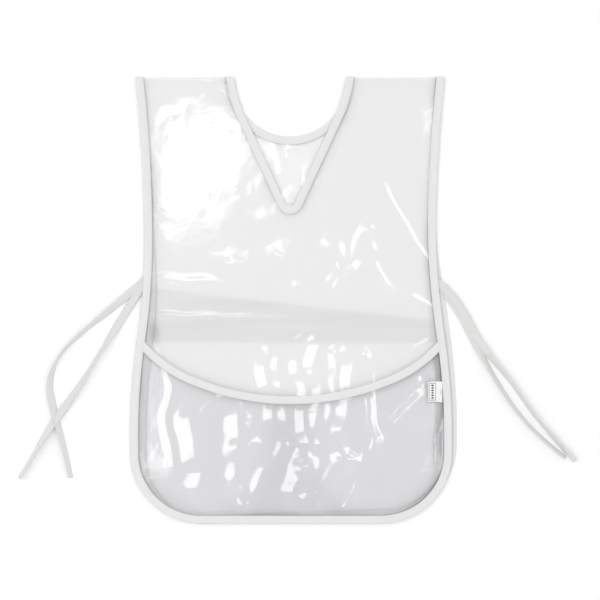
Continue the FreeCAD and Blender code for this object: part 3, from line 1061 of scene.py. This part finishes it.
def label_pattern(material):
    """A plain woven border and a row of diamonds, and no lettering."""
    marks, faces = [], []

    def mark(u, v, lift=MARK_LIFT):
        marks.append(label_spot(u, v, 1) + UP * lift)

    def bar(u0, u1, v0, v1):
        base = len(marks)
        for k in range(BAR_STEPS + 1):
            v = v0 + (v1 - v0) * (k / BAR_STEPS)
            mark(u0, v)
            mark(u1, v)
        for k in range(BAR_STEPS):
            a = base + 2 * k
            faces.append((a, a + 1, a + 3, a + 2))

    for u0 in BORDER_U:
        bar(u0, u0 + BAR_U, BORDER_V[0], 0.92)
    for v0 in BORDER_V:
        bar(BORDER_U[0], 0.915, v0, v0 + BAR_V)
    reach_u, reach_v = DIAMOND_REACH
    for k in range(6):
        middle = 0.19 + k * 0.124
        base = len(marks)
        for du, dv in ((reach_u, 0), (0, reach_v), (-reach_u, 0), (0, -reach_v)):
            mark(0.60 + du, middle + dv)
        mark(0.60, middle, DIAMOND_LIFT)
        faces += [(base + a, base + (a + 1) % 4, base + 4) for a in range(4)]
    obj = new_object("side_label_pattern", marks, faces, material, [(p.x, p.y) for p in marks])
    belongs(obj, "label")


# ---- light and floor

def mirror_spot(x, y):
    """Where a lamp hangs so that the camera sees it mirrored in level film at (x, y)."""
    return (x - (CAMERA_SIDE - x), y + y, CAMERA_HEIGHT)


# Name, place, aimed at, width, height, radiance, shape. The film mirrors all but the last.
LAMPS = [
    ("chest_softbox", mirror_spot(-0.135, 0.232), (-0.1, 0.1, 0), 0.30, 0.28, 3.2, "ELLIPSE"),
    ("chest_low_softbox", mirror_spot(-0.192, 0.150), (-0.1, 0.1, 0), 0.10, 0.22, 2.6, "ELLIPSE"),
    ("right_softbox", mirror_spot(0.407, 0.234), (0.1, 0.1, 0), 0.36, 0.40, 6.0, "RECTANGLE"),
    ("neck_softbox", mirror_spot(0.000, 0.250), (0, 0.1, 0), 0.12, 0.10, 2.4, "ELLIPSE"),
    ("left_strip", mirror_spot(-0.500, -0.21), (-0.1, -0.2, 0), 0.54, 0.86, 4.6, "RECTANGLE"),
    ("right_strip", mirror_spot(0.520, -0.21), (0.1, -0.2, 0), 0.44, 0.86, 4.6, "RECTANGLE"),
    ("side_key", (-1.5, 1.05, 2.4), (0, 0, 0), 1.6, 1.2, 1.7, "RECTANGLE"),
]
WORLD_STRENGTH = 0.965
# The sky is white up to one height and dark from the next, so that level film mirrors little of it.
SKY = [(0.72, 1), (0.97, 0.30)]


def area_light(name, spot, target, width, height, radiance, shape):
    data = bpy.data.lights.new(name, "AREA")
    data.shape = shape
    data.size, data.size_y = width, height
    data.energy = radiance * width * height * math.pi
    light = bpy.data.objects.new(name, data)
    light.location = spot
    light.rotation_euler = (Vector(target) - Vector(spot)).to_track_quat("-Z", "Y").to_euler()
    bpy.context.scene.collection.objects.link(light)


def make_lights():
    for lamp in LAMPS:
        area_light(*lamp)
    world = bpy.data.worlds.new("studio")
    bpy.context.scene.world = world
    world.use_nodes = True
    tree = world.node_tree
    tree.nodes.clear()
    output = add(tree, "OutputWorld")
    light = add(tree, "Background", Strength=WORLD_STRENGTH)
    ramp = add(tree, "ValToRGB")
    for element, (height, level) in zip(ramp.color_ramp.elements, SKY):
        element.position = height
        element.color = grey(level)
    place = add(tree, "TexCoord")
    parts = add(tree, "SeparateXYZ")
    join(place, "Generated", parts, "Vector")
    join(parts, "Z", ramp, "Fac")
    join(ramp, "Color", light, "Color")
    join(light, 0, output, "Surface")
    bpy.context.scene.view_settings.view_transform = "Standard"


def make_floor():
    half = 6.0
    corners = [(-half, -half, 0), (half, -half, 0), (half, half, 0), (-half, half, 0)]
    floor = new_object("table", corners, [(0, 1, 2, 3)], floor_material())


# ---- the garment

def mouth_run(outline):
    """The pocket's upper edge, between the two side tapes."""
    corner = max(p.y for p in outline)
    left = min((p for p in outline if p.y > corner - 0.002 and p.x < 0), key=lambda p: p.x)
    right = max((p for p in outline if p.y > corner - 0.002 and p.x > 0), key=lambda p: p.x)
    start = outline.index(right)
    loop = outline[start:] + outline[:start]
    one_way = loop[:loop.index(left) + 1]
    other = [right] + loop[loop.index(left):][::-1]
    run = one_way if min(p.y for p in one_way) > min(p.y for p in other) else other
    if run[0].x > run[-1].x:
        run = run[::-1]
    return [p for p in run if abs(p.x) < abs(left.x) - MOUTH_TUCK]


def make_tapes(cloth, thread):
    for side, panel, lift in (("back", BACK, plain_lift), ("front", FRONT, front_edge_lift)):
        edge, neck = runs_of(f"{side}_panel")
        edge = even(edge, RUN_STEP)
        neck = even(neck, NECK_STEP)
        tape(f"{side}_edge_tape", f"{side}_edge_binding", over_the_fold(edge, panel), panel, cloth, 1.0, lift)
        tape(f"{side}_neck_tape", f"{side}_neck_binding", over_the_fold(neck, panel), panel, cloth, 5.0)
        for name, path in (("edge", stitch_path(edge, panel, lift)), ("neck", stitch_path(neck, panel))):
            stitches(f"{side}_{name}_stitches", f"{side}_{name}_stitching", path, panel.body, thread)

    mouth = even(mouth_run(flat_outline("pocket_panel")), RUN_STEP)
    tape("pocket_mouth_tape", "pocket_mouth_binding", mouth, POCKET, cloth, 8.0, inside_left=False)
    path = stitch_path(mouth, POCKET, inside_left=False)
    stitches("pocket_mouth_stitches", "pocket_mouth_stitching", path, "front", thread)


def make_shoulder_seams(thread):
    steps = 40
    for side in ("left", "right"):
        low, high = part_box(f"shoulder_stitching_{side}")
        y = (low[1] + high[1]) / 2
        path = [FRONT.place(low[0] + (high[0] - low[0]) * k / steps, y, 0.0003) for k in range(steps + 1)]
        stitches(f"shoulder_stitches_{side}", f"shoulder_stitching_{side}", path, "front", thread)


def make_garment():
    """All its pieces. Returns the three sheets with their CAD nodes."""
    tape_cloth = woven_material("white_binding_tape", (0.80, 0.80, 0.80), 0.00055)
    tie_cloth = woven_material("white_tie_tape", (0.74, 0.74, 0.73), 0.0005)
    ribbon = woven_material("label_ribbon", (0.93, 0.93, 0.93), 0.0003, roughness=0.4)
    dark = woven_material("label_marks", (0.035, 0.035, 0.04), 0.0003, roughness=0.5)
    thread = thread_material()
    under = film_material("clear_back_film", 0.975, 0.02, 0.085)
    film = film_material("clear_front_film", 1.0, 0.04, 0.050)
    pocket = film_material("clear_pocket_film", 0.980, 0.03, 0.060)

    for tie in TIE_ROUTES:
        make_tie(tie, tie_cloth, thread)
        bar_tack(tie, thread)
    sheets = [film_sheet("back_film", "back_panel", BACK, under, BACK_FOLDS, no_shade),
              film_sheet("front_film", "front_panel", FRONT, film, FRONT_FOLDS, front_shade),
              film_sheet("pocket_film", "pocket_panel", POCKET, pocket, POCKET_FOLDS, pocket_shade, 0.6)]
    make_tapes(tape_cloth, thread)
    make_shoulder_seams(thread)
    label_ribbon(ribbon)
    label_root(ribbon)
    label_pattern(dark)
    return zip(sheets, ("back_panel", "front_panel", "pocket_panel"))


def declare_sheet(node):
    """Reads the cut piece's flat outline from the CAD; nothing is done with it."""
    cut = flat_outline(node)


make_camera()
make_floor()
make_lights()
sheets = make_garment()
bpy.context.view_layer.update()
for sheet, node in sheets:
    declare_sheet(node)
